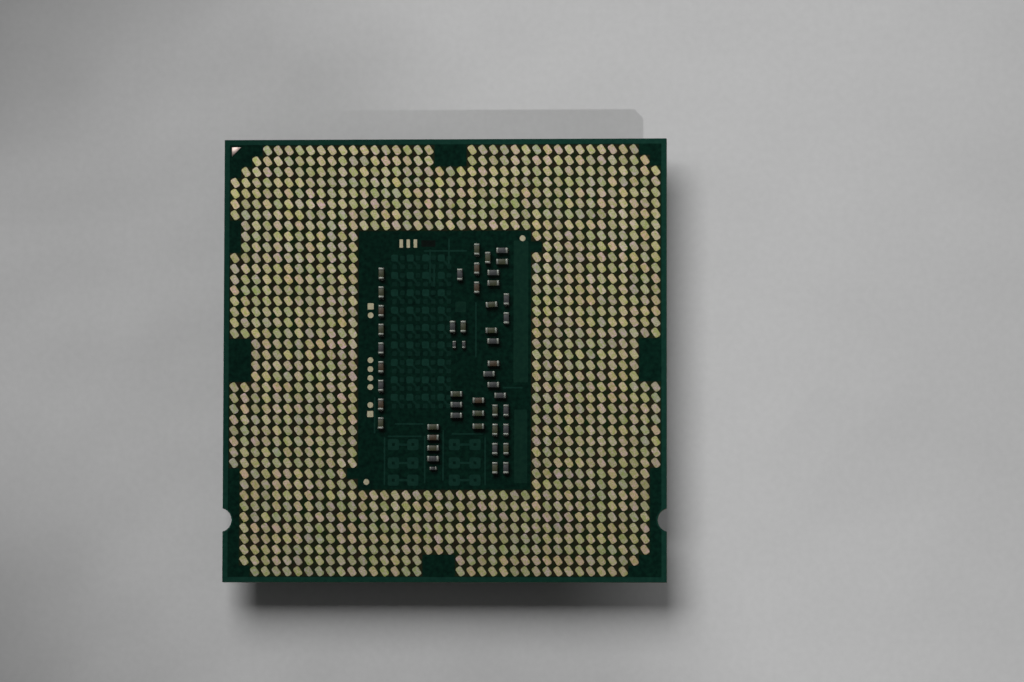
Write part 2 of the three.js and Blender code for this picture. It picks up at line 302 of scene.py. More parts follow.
# %% [markdown]
# ## Laminate
# The core is woven glass in epoxy. Its sawn edge shows the glass as pale flat streaks in an olive
# resin. A streak is a twentieth of a millimetre thick and more than a millimetre long, which is a
# noise squeezed in height and stretched along the board.

# %% Glass-epoxy laminate
SAWN_EPOXY = {"Roughness": 0.75, "IOR": 1.55}
GLASS_STREAKS = {"size_mm": 0.05, "detail": 2.0, "stretch": (0.04, 0.04, 1.0)}
STREAK_RELIEF = 0.004


def glass_epoxy():
    material = empty_material("sawn_glass_epoxy")
    return close_material(material, SAWN_EPOXY, {
        "Base Color": two_tones(material, "#54583a", "#787a52", **GLASS_STREAKS),
        "Normal": relief(material, STREAK_RELIEF, **GLASS_STREAKS),
    })


laminate = glass_epoxy()

# %% [markdown]
# ## Nickel plate
# The lid is stamped from copper and plated with dull nickel, a warm grey metal with a satin skin.
# The stamping leaves a fine directional grain, which is a noise stretched along one axis, and
# handling leaves broad, faint smudges that change the roughness and not the colour.

# %% Nickel plate
STAMPING_GRAIN = {"size_mm": 0.08, "detail": 4.0, "stretch": (0.05, 1.0, 1.0)}
STAMPING_RELIEF = 0.0008
HANDLED_GLOSS = {"size_mm": 6.0, "low": 0.27, "high": 0.4, "detail": 4.0}


def satin_nickel():
    material = empty_material("satin_nickel_plate")
    return close_material(material, METAL, {
        "Base Color": two_tones(material, "#b3afa6", "#c8c4ba", **STAMPING_GRAIN),
        "Roughness": blotches(material, **HANDLED_GLOSS),
        "Normal": relief(material, STAMPING_RELIEF, **STAMPING_GRAIN),
    })


nickel = satin_nickel()

# %% [markdown]
# ## Fired ceramic, tin and solder
# A chip capacitor's body is a fired ceramic block. Its colour depends on the recipe, so there are
# greys, olives and browns on one board. Its ends are dipped in silver paste and plated with tin,
# and the solder that holds them is a little darker than the tin and smoother.

# %% Ceramic, tin and solder
CERAMIC = {"Roughness": 0.5, "IOR": 1.5}
CERAMIC_TONES = {
    "grey": ("#2e3031", "#3d4041"),
    "olive": ("#303420", "#404529"),
    "brown": ("#392c1a", "#4b3a25"),
}
DIPPED = {"size_mm": 0.15, "grain_mm": 0.05, "depth_mm": 0.0016}

ceramics = {
    name[0]: mottled(
        f"fired_ceramic_{name}", CERAMIC, tones, size_mm=0.12, grain_mm=0.05, depth_mm=0.0012,
    )
    for name, tones in CERAMIC_TONES.items()
}
tin = mottled("plated_tin", METAL, ("#7a7f77", "#8e928b"), **DIPPED, rough=(0.42, 0.55))
solder = mottled("reflowed_solder", METAL, ("#6c6e6a", "#858783"), **DIPPED, rough=(0.3, 0.4))

# %% [markdown]
# ## What is inside the lid
# None of this shows from outside, but the pieces are real, so each gets its own finish: a polished
# silicon die, the amber-black epoxy that flows under it, grey thermal paste with its filler
# grains, and the rubbery black sealant that holds the lid. Each row gives the size of its grain
# and the depth of its relief, in millimetres.

# %% Inner finishes
SILICON = {"Metallic": 0.6, "Roughness": 0.12}
EPOXY = {"Roughness": 0.3, "IOR": 1.55}
PASTE = {"Roughness": 0.6, "IOR": 1.45}
RUBBER = {"Roughness": 0.65, "IOR": 1.41}
INNER_FINISHES = [
    ("polished_silicon", SILICON, ("#343a42", "#434a54"), 2.0, 0.0002),
    ("cured_underfill_epoxy", EPOXY, ("#1d1a14", "#2c281e"), 0.8, 0.004),
    ("filled_thermal_paste", PASTE, ("#7c7e82", "#97999c"), 0.15, 0.004),
    ("cured_silicone_sealant", RUBBER, ("#131315", "#202022"), 0.3, 0.004),
]

silicon, underfill_epoxy, thermal_paste, sealant = [
    mottled(name, settings, tones, size_mm=grain, grain_mm=grain, depth_mm=depth)
    for name, settings, tones, grain, depth in INNER_FINISHES
]

# %% [markdown]
# ## Finishing a piece
# A new piece is scaled from millimetres to metres, gets its materials, rides on the object's one
# body, and hides the CAD nodes that it stands for. Large flat faces would show false gradients if
# they were averaged with the narrow bevels beside them, so a Weighted Normal modifier lets the
# large faces decide. Pads that are repeated by the hundred go without it, because their rims are
# too narrow to show.

# %% Finish a piece
SHARP_ANGLE = math.radians(40)


def finish_piece(name, bm, materials, nodes=(), weighted=True):
    bmesh.ops.scale(bm, vec=(MM, MM, MM), verts=bm.verts)
    bmesh.ops.recalc_face_normals(bm, faces=bm.faces)
    mesh = bpy.data.meshes.new(name)
    bm.to_mesh(mesh)
    bm.free()
    mesh.shade_smooth()
    mesh.set_sharp_from_angle(angle=SHARP_ANGLE)
    for material in materials:
        mesh.materials.append(material)
    piece = bpy.data.objects.new(name, mesh)
    bpy.context.scene.collection.objects.link(piece)
    if weighted:
        piece.modifiers.new("even_flats", "WEIGHTED_NORMAL").keep_sharp = True
    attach(piece, "root")
    if nodes:
        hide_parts(*nodes)
    print(f"{name}: {len(mesh.polygons)} faces")
    return piece


# %% [markdown]
# ## Refining a CAD solid
# The CAD solids have the right shape, with edges that are perfectly sharp, and no real edge is.
# A copy of such a solid is welded, its flat triangles are merged into whole faces, and its edges
# are then bevelled, all of them or those at one height. The solid itself stays as it is, hidden
# behind the copy.

# %% Copy and bevel helpers
WELD = 0.001
FLAT_ANGLE = math.radians(1)
EDGE_ANGLE = math.radians(50)


def copy_of(node):
    bm = bmesh.new()
    bm.from_mesh(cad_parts[node].data)
    bmesh.ops.scale(bm, vec=(1 / MM, 1 / MM, 1 / MM), verts=bm.verts)
    bmesh.ops.remove_doubles(bm, verts=bm.verts, dist=WELD)
    bmesh.ops.dissolve_limit(bm, angle_limit=FLAT_ANGLE, verts=bm.verts, edges=bm.edges)
    return bm


def middle(edge):
    return (edge.verts[0].co + edge.verts[1].co) / 2


def round_edges(bm, radius, segments, at=None):
    sharp = [e for e in bm.edges if e.is_manifold and e.calc_face_angle() > EDGE_ANGLE]
    if at is not None:
        sharp = [edge for edge in sharp if abs(middle(edge).z - at) < WELD]
    bmesh.ops.bevel(
        bm, geom=sharp, offset=radius, segments=segments, profile=0.5,
        affect="EDGES", material=-1, clamp_overlap=True,
    )
    print(f"rounded {len(sharp)} edges to {radius} mm")


def refined(name, node, material, rounding):
    bm = copy_of(node)
    round_edges(bm, rounding, segments=2)
    return finish_piece(name, bm, [material], [node])


# %% [markdown]
# ## The board
# The board is three layers: a build-up of copper and film on each side of a glass-epoxy core. The
# router that cut it out leaves the layers' rims slightly rounded, so each one is bevelled a little
# and the joints show as fine lines round the edge.

# %% Core and die side
LAYER_ROUNDING = 0.025

refined("board_core", "core_laminate", laminate, LAYER_ROUNDING)
refined("board_die_side", "die_side_buildup", mask_on_laminate, LAYER_ROUNDING)

# %% [markdown]
# The land side has one more feature. The copper planes inside it stop just short of the edge, so
# the film over them stands a hair higher than the film over the bare rim, and the rim is lighter.
# The top face, found by its height and its upward normal, is inset by that distance, the rim is
# sunk, and only the middle keeps the dark colour. Round the two half-round notches the planes come
# closer to the edge, so there every corner of the inset line, which lies one rim's width out, is
# drawn in towards the notch.

# %% Land side of the board
UPWARD = 0.9
RIM_WIDTH = 0.44
PLANE_STEP = 0.012
NOTCH_PLACE = Vector((18.99, -13.5))
NOTCH_RADIUS = 1.0
NOTCH_RIM = 0.12
SLACK = 1.1
NEAR_NOTCH = NOTCH_RADIUS + SLACK * RIM_WIDTH


def draw_in_at_notch(vert, side):
    away = vert.co.xy - Vector((side * NOTCH_PLACE.x, NOTCH_PLACE.y))
    if away.length < NEAR_NOTCH:
        x, y = away.normalized() * (NOTCH_RADIUS + NOTCH_RIM)
        inner_edge = board_high.x - RIM_WIDTH
        vert.co.x = side * min(NOTCH_PLACE.x + side * x, inner_edge)
        vert.co.y = NOTCH_PLACE.y + y


def land_side_layer():
    bm = copy_of("land_side_buildup")
    upper = [face for face in bm.faces if face.normal.z > UPWARD]
    top = [face for face in upper if face.calc_center_median().z > land_side - WELD]
    rim = bmesh.ops.inset_region(
        bm, faces=top, thickness=RIM_WIDTH, depth=0.0, use_even_offset=True,
    )
    inner = {vert for face in top for vert in face.verts}
    outer = {vert for face in rim["faces"] for vert in face.verts} - inner
    for face in top:
        face.material_index = 1
    for vert in inner:
        draw_in_at_notch(vert, 1)
        draw_in_at_notch(vert, -1)
    bmesh.ops.translate(bm, verts=list(outer), vec=(0, 0, -PLANE_STEP))
    round_edges(bm, LAYER_ROUNDING, segments=2)
    materials = [mask_on_laminate, mask_on_plane]
    return finish_piece("board_land_side", bm, materials, ["land_side_buildup"])


land_side_layer()

# %% [markdown]
# ## One land
# A land is a small rounded bar, turned about a third of a right angle so that a socket spring
# wipes along it. It is made from a single square face: its corners are bevelled round, it is
# raised, and the edges where its top meets an upright side are bevelled too. Every other flat pad,
# mark and trace on this side is the same shape in other sizes, so one function makes them all. A
# shape that is copied more than a thousand times has to be light, so its roundings have few
# segments.

# %% A raised pad
LAND_WIDTH = 0.55
LAND_LENGTH = 0.82
LAND_CORNER = 0.17
LAND_TURN = math.radians(33.5)
LAND_RIM = 0.01
UPRIGHT = 0.1

field_low, field_high = box_mm("land_field")
land_height = field_high.z - field_low.z


def as_mesh(bm, name):
    mesh = bpy.data.meshes.new(name)
    bm.to_mesh(mesh)
    bm.free()
    return mesh


def raise_flat_shape(bm, height, rim):
    raised = bmesh.ops.extrude_face_region(bm, geom=bm.faces[:])
    top = [item for item in raised["geom"] if isinstance(item, bmesh.types.BMVert)]
    bmesh.ops.translate(bm, verts=top, vec=(0, 0, height))
    edges = [e for e in bm.edges if middle(e).z > height - WELD and not e.is_boundary]
    edges = [e for e in edges if any(abs(face.normal.z) < UPRIGHT for face in e.link_faces)]
    bmesh.ops.bevel(
        bm, geom=edges, offset=rim, segments=1, profile=0.5, affect="EDGES", material=-1,
    )


def raised_pad(width, length, corner, height, rim, corner_segments=3, turn=0.0):
    bm = bmesh.new()
    bmesh.ops.create_grid(bm, x_segments=1, y_segments=1, size=0.5)
    bmesh.ops.scale(bm, vec=(width, length, 1), verts=bm.verts)
    bmesh.ops.bevel(
        bm, geom=bm.verts[:], offset=corner, segments=corner_segments, profile=0.5,
        affect="VERTICES", material=-1,
    )
    bmesh.ops.remove_doubles(bm, verts=bm.verts, dist=WELD)
    raise_flat_shape(bm, height, rim)
    bmesh.ops.rotate(bm, verts=bm.verts, matrix=Matrix.Rotation(turn, 3, "Z"))
    return as_mesh(bm, "raised_pad")


land = raised_pad(LAND_WIDTH, LAND_LENGTH, LAND_CORNER, land_height, LAND_RIM, turn=LAND_TURN)
print("one land has", len(land.polygons), "faces")

# %% [markdown]
# ## All lands
# The land is copied to every grid cell that the CAD plate covers. A ray dropped on that plate
# tells whether a cell holds a land, so no list of cells is kept here. A piece that is made of
# copies is always built the same way: one bmesh takes every copy, and then it is one piece.

# %% Copies and lands
def piece_of_copies(name, batches, material, nodes=()):
    bm = bmesh.new()
    for mesh, places in batches:
        for x, y in places:
            start = len(bm.verts)
            bm.from_mesh(mesh)
            bm.verts.ensure_lookup_table()
            bmesh.ops.translate(bm, verts=bm.verts[start:], vec=(x, y, land_side))
    return finish_piece(name, bm, [material], nodes, weighted=False)


def land_places():
    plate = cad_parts["land_field"].data
    corners = [vert.co / MM for vert in plate.vertices]
    tree = BVHTree.FromPolygons(corners, [face.vertices for face in plate.polygons])
    count = round((field_high.x - field_low.x) / LAND_PITCH)
    steps = [(step + 0.5) * LAND_PITCH for step in range(count)]
    cells = [(field_low.x + across, field_high.y - back) for back in steps for across in steps]
    above, downwards = field_high.z + 1, Vector((0, 0, -1))
    return [(x, y) for x, y in cells if tree.ray_cast(Vector((x, y, above)), downwards)[0]]


cells_with_land = land_places()
piece_of_copies("contact_lands", [(land, cells_with_land)], gold, ["land_field"])
print(len(cells_with_land), "lands")

# %% [markdown]
# ## Film between the lands
# Between the lands the film looks almost black. The CAD plate has exactly the outline of that
# zone, so a copy of it, flattened to a few thousandths of a millimetre, carries the darker tone.
# It is shrunk by a hair, so that it stays within the plate's own outline.

# %% Film between the lands
ZONE_HEIGHT = 0.003
ZONE_SHRINK = 0.998


def land_zone():
    bm = copy_of("land_field")
    upper = [vert for vert in bm.verts if vert.co.z > field_low.z + WELD]
    bmesh.ops.translate(bm, verts=upper, vec=(0, 0, ZONE_HEIGHT - land_height))
    bmesh.ops.scale(bm, vec=(ZONE_SHRINK, ZONE_SHRINK, 1), verts=bm.verts)
    materials = [mask_between_lands]
    return finish_piece("film_between_lands", bm, materials, weighted=False)


land_zone()

# %% [markdown]
# ## Pin-one mark
# A gold triangle in one corner tells a fitter which corner is pin one. Its shape is its CAD
# solid's, with the upper edges bevelled.

# %% Triangle mark
MARK_RIM = 0.01


def triangle_mark():
    bm = copy_of("pin_one_mark")
    round_edges(bm, MARK_RIM, segments=1, at=field_high.z)
    return finish_piece("pin_one_triangle", bm, [mark_gold_painted_highlight], ["pin_one_mark"])


triangle_mark()

# %% [markdown]
# ## Test pads and fiducials
# Two round fiducials sit in gaps of the land grid, where a placement camera looks for them. A
# column of small test pads runs down the left of the middle, some square and some round, on a
# pitch of 0.76 mm. A pad whose corner radius is half its width comes out round. Here and below, a
# place is a distance from the board's centre, in millimetres.

# %% Round and square pads
PAD_HEIGHT = 0.02
ROUND_PAD = 0.5
SQUARE_PAD = 0.53
SQUARE_CORNER = 0.05
ROUNDING_SEGMENTS = 7
TEST_COLUMN = -6.27
TEST_PITCH = 0.76
ROUND_STEPS = (5, 0, -1, -2, -3, -5)
SQUARE_STEPS = (6, -6)
FIDUCIALS = [(6.58, 10.3), (-6.58, -10.3)]

round_pad = raised_pad(
    ROUND_PAD, ROUND_PAD, ROUND_PAD / 2, PAD_HEIGHT, MARK_RIM, ROUNDING_SEGMENTS,
)
square_pad = raised_pad(SQUARE_PAD, SQUARE_PAD, SQUARE_CORNER, PAD_HEIGHT, MARK_RIM)
pads = [
    (round_pad, [(TEST_COLUMN, TEST_PITCH * step) for step in ROUND_STEPS] + FIDUCIALS),
    (square_pad, [(TEST_COLUMN, TEST_PITCH * step) for step in SQUARE_STEPS]),
]
piece_of_copies("test_pads_and_fiducials", pads, pad_gold)

# %% [markdown]
# ## Plain bars
# Three plain gold bars stand where a real board carries a short printed code.

# %% Plain bars in place of a code
BAR_WIDTH = 0.3
BAR_LENGTH = 0.72
BAR_PLACES = [(-3.7, 9.88), (-3.1, 9.88), (-2.5, 9.88)]

bar = raised_pad(BAR_WIDTH, BAR_LENGTH, SQUARE_CORNER, PAD_HEIGHT, MARK_RIM)
piece_of_copies("plain_bars", [(bar, BAR_PLACES)], pad_gold)

# %% [markdown]
# ## Laser patch
# Beside the bars the board is laser-marked with a serial pattern. It is left out, and what stays is
# the plain darkened patch of film that the laser leaves.

# %% Laser-darkened patch
PATCH_WIDTH = 1.2
PATCH_LENGTH = 0.55
PATCH_PLACE = (-1.4, 9.88)
PATCH_HEIGHT = 0.004
PATCH_RIM = 0.001

patch = raised_pad(PATCH_WIDTH, PATCH_LENGTH, SQUARE_CORNER, PATCH_HEIGHT, PATCH_RIM)
piece_of_copies("laser_patch", [(patch, [PATCH_PLACE])], mask_marked)

# %% [markdown]
# ## Copper under the film
# In the cleared middle the outermost copper shows through the film as a faint relief. Over the
# die's power planes it is a field of small squares, with smaller ones between them and short
# slanting links. Each is a low raised shape with a lighter mask tone, because copper really does
# lift the film by about its own thickness. No two kinds have the same height: where they cross,
# faces in one plane would fight for which is seen.

# %% Squares, small squares and links
RELIEF_RIM = 0.004
RELIEF_SEGMENTS = 2
SQUARE = 0.6
SQUARE_ROUNDING = 0.14
SQUARE_HEIGHT = 0.012
SMALL_SQUARE = 0.4
SMALL_SQUARE_ROUNDING = 0.1
SMALL_SQUARE_HEIGHT = 0.0105
LINK_WIDTH = 0.18
LINK_LENGTH = 1.0
LINK_ROUNDING = 0.05
LINK_HEIGHT = 0.009
LINK_TURN = math.radians(42)
SQUARE_COLUMNS = (-4.25, -2.93, -1.62, -0.3)
COLUMN_PITCH = 1.32
ROW_PITCH = 1.475
BACK_ROW = 8.65
ROW_COUNT = 9
SQUARE_ROWS = [BACK_ROW - ROW_PITCH * row for row in range(ROW_COUNT)]


def relief_pad(width, length, corner, height, turn=0.0):
    return raised_pad(width, length, corner, height, RELIEF_RIM, RELIEF_SEGMENTS, turn)


grid = [(x, y) for x in SQUARE_COLUMNS for y in SQUARE_ROWS]
half_x, half_y = COLUMN_PITCH / 2, ROW_PITCH / 2
steps = [(half_x, -half_y), (0, -half_y), (half_x, 0)]
between = [(x + across, y + along) for x, y in grid for across, along in steps]
beside = [(x + half_x / 2, y - half_y / 2) for x, y in grid]
square = relief_pad(SQUARE, SQUARE, SQUARE_ROUNDING, SQUARE_HEIGHT)
small = relief_pad(SMALL_SQUARE, SMALL_SQUARE, SMALL_SQUARE_ROUNDING, SMALL_SQUARE_HEIGHT)
slant = relief_pad(LINK_WIDTH, LINK_LENGTH, LINK_ROUNDING, LINK_HEIGHT, LINK_TURN)
piece_of_copies("masked_squares", [(square, grid)], mask_on_square)
piece_of_copies("masked_small_squares", [(small, between)], mask_on_via)
piece_of_copies("masked_links", [(slant, beside)], mask_on_via)

# %% [markdown]
# ## Pads with a hole
# Towards the front of the middle there are square pads with a small hole, joined in pairs by a
# narrow bar. A pad starts as a grid of three by three faces whose inner lines are pulled together
# until the centre face has the size of the hole. That face is removed, the outer corners are
# rounded, and the rest is raised.

# %% Pads with a hole, joined in pairs
HOLED_PAD = 0.95
PAD_HOLE = 0.24
GRID_FACES = 3
INNER_LINES = 0.3
HOLED_CORNER = 0.16
HOLED_HEIGHT = 0.012
PAIR_BAR = 0.2
PAIR_BAR_CORNER = 0.02
PAIR_BAR_HEIGHT = 0.009
PAIR_ROWS = (-7.15, -8.7, -10.15)
PAIR_COLUMNS = [(-4.3, -2.65), (0.85, 2.6)]


def holed_pad():
    bm = bmesh.new()
    bmesh.ops.create_grid(bm, x_segments=GRID_FACES, y_segments=GRID_FACES, size=0.5)
    squeeze = PAD_HOLE / HOLED_PAD * GRID_FACES
    inner_columns = [vert for vert in bm.verts if abs(vert.co.x) < INNER_LINES]
    inner_rows = [vert for vert in bm.verts if abs(vert.co.y) < INNER_LINES]
    bmesh.ops.scale(bm, vec=(squeeze, 1, 1), verts=inner_columns)
    bmesh.ops.scale(bm, vec=(1, squeeze, 1), verts=inner_rows)
    bmesh.ops.scale(bm, vec=(HOLED_PAD, HOLED_PAD, 1), verts=bm.verts)
    centre = min(bm.faces, key=lambda face: face.calc_center_median().length)
    bmesh.ops.delete(bm, geom=[centre], context="FACES_ONLY")
    corners = [vert for vert in bm.verts if len(vert.link_edges) == 2]
    bmesh.ops.bevel(
        bm, geom=corners, offset=HOLED_CORNER, segments=RELIEF_SEGMENTS, profile=0.5,
        affect="VERTICES", material=-1,
    )
    raise_flat_shape(bm, HOLED_HEIGHT, RELIEF_RIM)
    return as_mesh(bm, "holed_pad")


with_hole = [(x, y) for columns in PAIR_COLUMNS for x in columns for y in PAIR_ROWS]
pair_parts = [(holed_pad(), with_hole)]
for left, right in PAIR_COLUMNS:
    joint = relief_pad(right - left - HOLED_PAD, PAIR_BAR, PAIR_BAR_CORNER, PAIR_BAR_HEIGHT)
    pair_parts.append((joint, [((left + right) / 2, y) for y in PAIR_ROWS]))
piece_of_copies("masked_pad_pairs", pair_parts, mask_on_trace)

# %% [markdown]
# ## Straight traces
# Long straight traces run between the groups, upright ones and level ones. Each is written as the
# line that it lies on and the two ends of its run, and is raised from a very long or very wide
# pad. The upright ones stand a hair higher, so that the level ones pass under them.

# %% Straight traces
TRACE_WIDTH = 0.14
TRACE_CORNER = 0.05
TRACE_SEGMENTS = 1
UPRIGHT_HEIGHT = 0.0135
LEVEL_HEIGHT = 0.0075
UPRIGHT_TRACES = [
    (-5.05, -10.6, -6.5), (-1.65, -10.4, -6.4), (-0.1, -10.2, -5.9), (3.45, -10.6, -6.5),
    (-1.25, 6.5, 9.4), (-0.9, 6.2, 8.0), (2.65, 0.2, 4.9), (0.35, 8.1, 10.3), (-5.9, -6.2, -3.1),
]
LEVEL_TRACES = [
    (-5.4, -4.2, -1.75), (-6.45, -4.8, -1.9), (9.25, -1.8, 1.9), (-6.25, 0.6, 3.3),
    (-2.35, 4.9, 6.6),
]


def trace(width, length, height):
    return raised_pad(width, length, TRACE_CORNER, height, RELIEF_RIM, TRACE_SEGMENTS)


runs = []
for x, start, end in UPRIGHT_TRACES:
    upright = trace(TRACE_WIDTH, end - start, UPRIGHT_HEIGHT)
    runs.append((upright, [(x, (start + end) / 2)]))
for y, start, end in LEVEL_TRACES:
    level = trace(end - start, TRACE_WIDTH, LEVEL_HEIGHT)
    runs.append((level, [((start + end) / 2, y)]))
piece_of_copies("masked_traces", runs, mask_on_trace)

# %% [markdown]
# ## Copper pours
# Where the board carries current it has broad patches of copper, called pours. They show as plain
# areas a little lighter than their surroundings. Each is written as its centre and its size.

# %% Copper pours
POUR_CORNER = 0.1
POUR_HEIGHT = 0.006
POUR_RIM = 0.003
POURS = [((6.45, 4.1), (1.25, 12.0)), ((1.35, 4.5), (0.9, 0.9)), ((6.45, -7.3), (1.1, 6.2))]

areas = [
    (raised_pad(width, length, POUR_CORNER, POUR_HEIGHT, POUR_RIM), [place])
    for place, (width, length) in POURS
]
piece_of_copies("masked_pours", areas, mask_on_pour)

# %% [markdown]
# ## Capacitors
# Each capacitor is a ceramic block whose two ends are wrapped in tinned caps a little proud of it,
# sitting on solder that climbs each end in a small hollow slope. The block and the caps are cubes
# with rounded edges. The three finishes share one mesh, so each face keeps the number of its own.

# %% A rounded block
BODY, CAP, SOLDER = range(3)


def block(bm, size, centre, rounding, segments, material_index):
    made = bmesh.ops.create_cube(bm, size=1.0)["verts"]
    bmesh.ops.scale(bm, vec=size, verts=made)
    bmesh.ops.translate(bm, vec=centre, verts=made)
    for face in {face for vert in made for face in vert.link_faces}:
        face.material_index = material_index
    edges = list({edge for vert in made for edge in vert.link_edges})
    bmesh.ops.bevel(
        bm, geom=edges, offset=rounding, segments=segments, profile=0.5,
        affect="EDGES", material=-1,
    )


# %% [markdown]
# The solder is a five-point profile, high at the chip and running out thinly on the board. It is
# pulled across the chip's width.

# %% A slope of solder
SOLDER_REACH = 0.06
SOLDER_CLIMB = 0.55
SOLDER_PROFILE = [(0.0, 0.0), (1.0, 0.0), (0.55, 0.12), (0.2, 0.4), (0.0, 1.0)]


def solder_slope(bm, end, width, height):
    reach, climb = math.copysign(SOLDER_REACH, end), height * SOLDER_CLIMB
    corners = [(end + reach * x, -width / 2, climb * z) for x, z in SOLDER_PROFILE]
    face = bm.faces.new([bm.verts.new(corner) for corner in corners])
    pulled = bmesh.ops.extrude_face_region(bm, geom=[face], use_keep_orig=True)
    moved = [item for item in pulled["geom"] if isinstance(item, bmesh.types.BMVert)]
    bmesh.ops.translate(bm, verts=moved, vec=(0, width, 0))
    for side in {f for vert in moved for f in vert.link_faces} | {face}:
        side.material_index = SOLDER


# %% [markdown]
# A capacitor's size, place and direction are read from its CAD node. One of them was set down a
# few degrees askew, so its box is larger than the chip, and its own size is given instead. The
# sizes of the body, the caps and the solder are shares of the chip's own length, width and height.

# %% One capacitor
CAP_SHARE = 0.22
CAP_WIDTH_SHARE = 0.95
BODY_WIDTH_SHARE = 0.88
BODY_HEIGHT_SHARE = 0.93
BODY_GAP = 0.01
BODY_ROUNDING_SHARE, BODY_SEGMENTS = 0.06, 2
CAP_ROUNDING_SHARE, CAP_SEGMENTS = 0.1, 3
SOLDER_WIDTH_SHARE = 0.8
STANDARD_LONG, STANDARD_SHORT = 1.0, 0.5


def capacitor(bank, index, tone, turn):
    node = f"capacitor_{bank}_{index}"
    low, high = box_mm(node)
    size, centre = high - low, (low + high) / 2
    long, short = max(size.x, size.y), min(size.x, size.y)
    if turn:
        long, short = STANDARD_LONG, STANDARD_SHORT
    height = size.z
    cap = long * CAP_SHARE
    bm = bmesh.new()
    body = (long - cap, short * BODY_WIDTH_SHARE, height * BODY_HEIGHT_SHARE)
    body_centre = (0, 0, body[2] / 2 + BODY_GAP)
    block(bm, body, body_centre, short * BODY_ROUNDING_SHARE, BODY_SEGMENTS, BODY)
    end_cap = (cap, short * CAP_WIDTH_SHARE, height)
    for side in (-1, 1):
        cap_centre = (side * (long - cap) / 2, 0, height / 2)
        block(bm, end_cap, cap_centre, short * CAP_ROUNDING_SHARE, CAP_SEGMENTS, CAP)
        solder_slope(bm, side * long / 2, short * SOLDER_WIDTH_SHARE, height)
    angle = math.pi / 2 if size.y > size.x else turn
    bmesh.ops.rotate(bm, verts=bm.verts, matrix=Matrix.Rotation(angle, 3, "Z"))
    bmesh.ops.translate(bm, verts=bm.verts, vec=(centre.x, centre.y, low.z))
    materials = [ceramics[tone], tin, solder]
    return finish_piece(f"chip_{bank}_{index}", bm, materials, [node], weighted=False)


# %% [markdown]
# The body tones of each row, in the order of its chips: g is grey, o olive and b brown.

# %% All capacitors
BODY_TONES = {
    "west": "oobogbgbo", "north": "obb", "north_inner": "go", "northeast_back": "go",
    "northeast": "go", "east_back": "gg", "turned": "o", "centre_back": "go", "centre_small": "gg",
    "east": "og", "east_front": "bg", "east_foot": "gg", "centre": "ogg", "centre_east": "boo",
    "southeast": "oogo", "southeast_edge": "ggog", "south": "obog", "south_small": "g",
}
HAND_SET_TURN = math.radians(4)

for bank, tones in BODY_TONES.items():
    for index, tone in enumerate(tones, start=1):
        capacitor(bank, index, tone, HAND_SET_TURN if bank == "turned" else 0.0)

# %% [markdown]
# ## The lid
# The lid is coined in a press, so its edges have real radii: a broad one round the cooler face,
# and smaller ones on the rim and at the foot. All are bevels on a copy of the CAD solid, each
# picked by its height.

# %% Heat spreader
PLATEAU_ROUNDING = 0.3
RIM_ROUNDING = 0.18
SEAL_ROUNDING = 0.08


def heat_spreader():
    bm = copy_of("heat_spreader")
    rim_underside = min(vert.co.z for vert in bm.verts if vert.co.x > lid_high.x - WELD)
    round_edges(bm, PLATEAU_ROUNDING, segments=5, at=lid_low.z)
    round_edges(bm, RIM_ROUNDING, segments=4, at=rim_underside)
    round_edges(bm, SEAL_ROUNDING, segments=2, at=lid_high.z)
    return finish_piece("lid", bm, [nickel], ["heat_spreader"])


heat_spreader()

# %% [markdown]
# ## Inside the lid
# The sealant, the thermal layer, the die and its underfill have the CAD solids' shapes with softer
# edges. A poured or squeezed material rounds over more than a sawn one does.

# %% Sealant and inner pieces
POURED_ROUNDING = 0.03
SAWN_ROUNDING = 0.02

refined("sealant_bead", "lid_sealant", sealant, POURED_ROUNDING)
refined("thermal_layer", "thermal_interface", thermal_paste, POURED_ROUNDING)
refined("silicon_die", "die", silicon, SAWN_ROUNDING)
refined("underfill_skirt", "underfill", underfill_epoxy, SAWN_ROUNDING)

# %% [markdown]
# ## Paper
# The floor is a sheet of plain pale paper. It has three scales of unevenness: fibres of half a
# millimetre, soft dents of a couple of centimetres where it has been handled, and a few folds. A
# fold is where a slow noise changes sign: the distance from zero rises on both sides of that line,
# so the two sides lean different ways. Dents and folds are bumps, so they only show where light
# rakes over them. The paper's colour also carries painted shade: three soft dark patches, two
# beyond the left corners and a third to the right, stand for the light falling off towards the
# far parts of the sheet. Each patch is written as its centre, the two distances from it between
# which it fades, and how much light its middle still throws back. The noise that lets its outline
# wander is a half on average, so the centres are moved by half the drift to make up for it.

# %% Paper
MATT_PAPER = {"Roughness": 0.9, "IOR": 1.45}
PAPER_FIBRE = 0.6
DENT = 22.0
FOLD = 34.0
FOLD_STRETCH = (1.0, 0.45, 1.0)
FOLD_SHARE = 0.35
DENT_DEPTH = 0.5
SHADE_PATCH_DRIFT = 14.0
# Painted shade patches: centre in mm, fade start and end in mm, share of light left in the middle.
PAINTED_SHADE_PATCHES = [((-52, 41), 8, 38, 0.5), ((-52, -37), 8, 38, 0.54), ((90, -2), 38, 66, 0.88)]


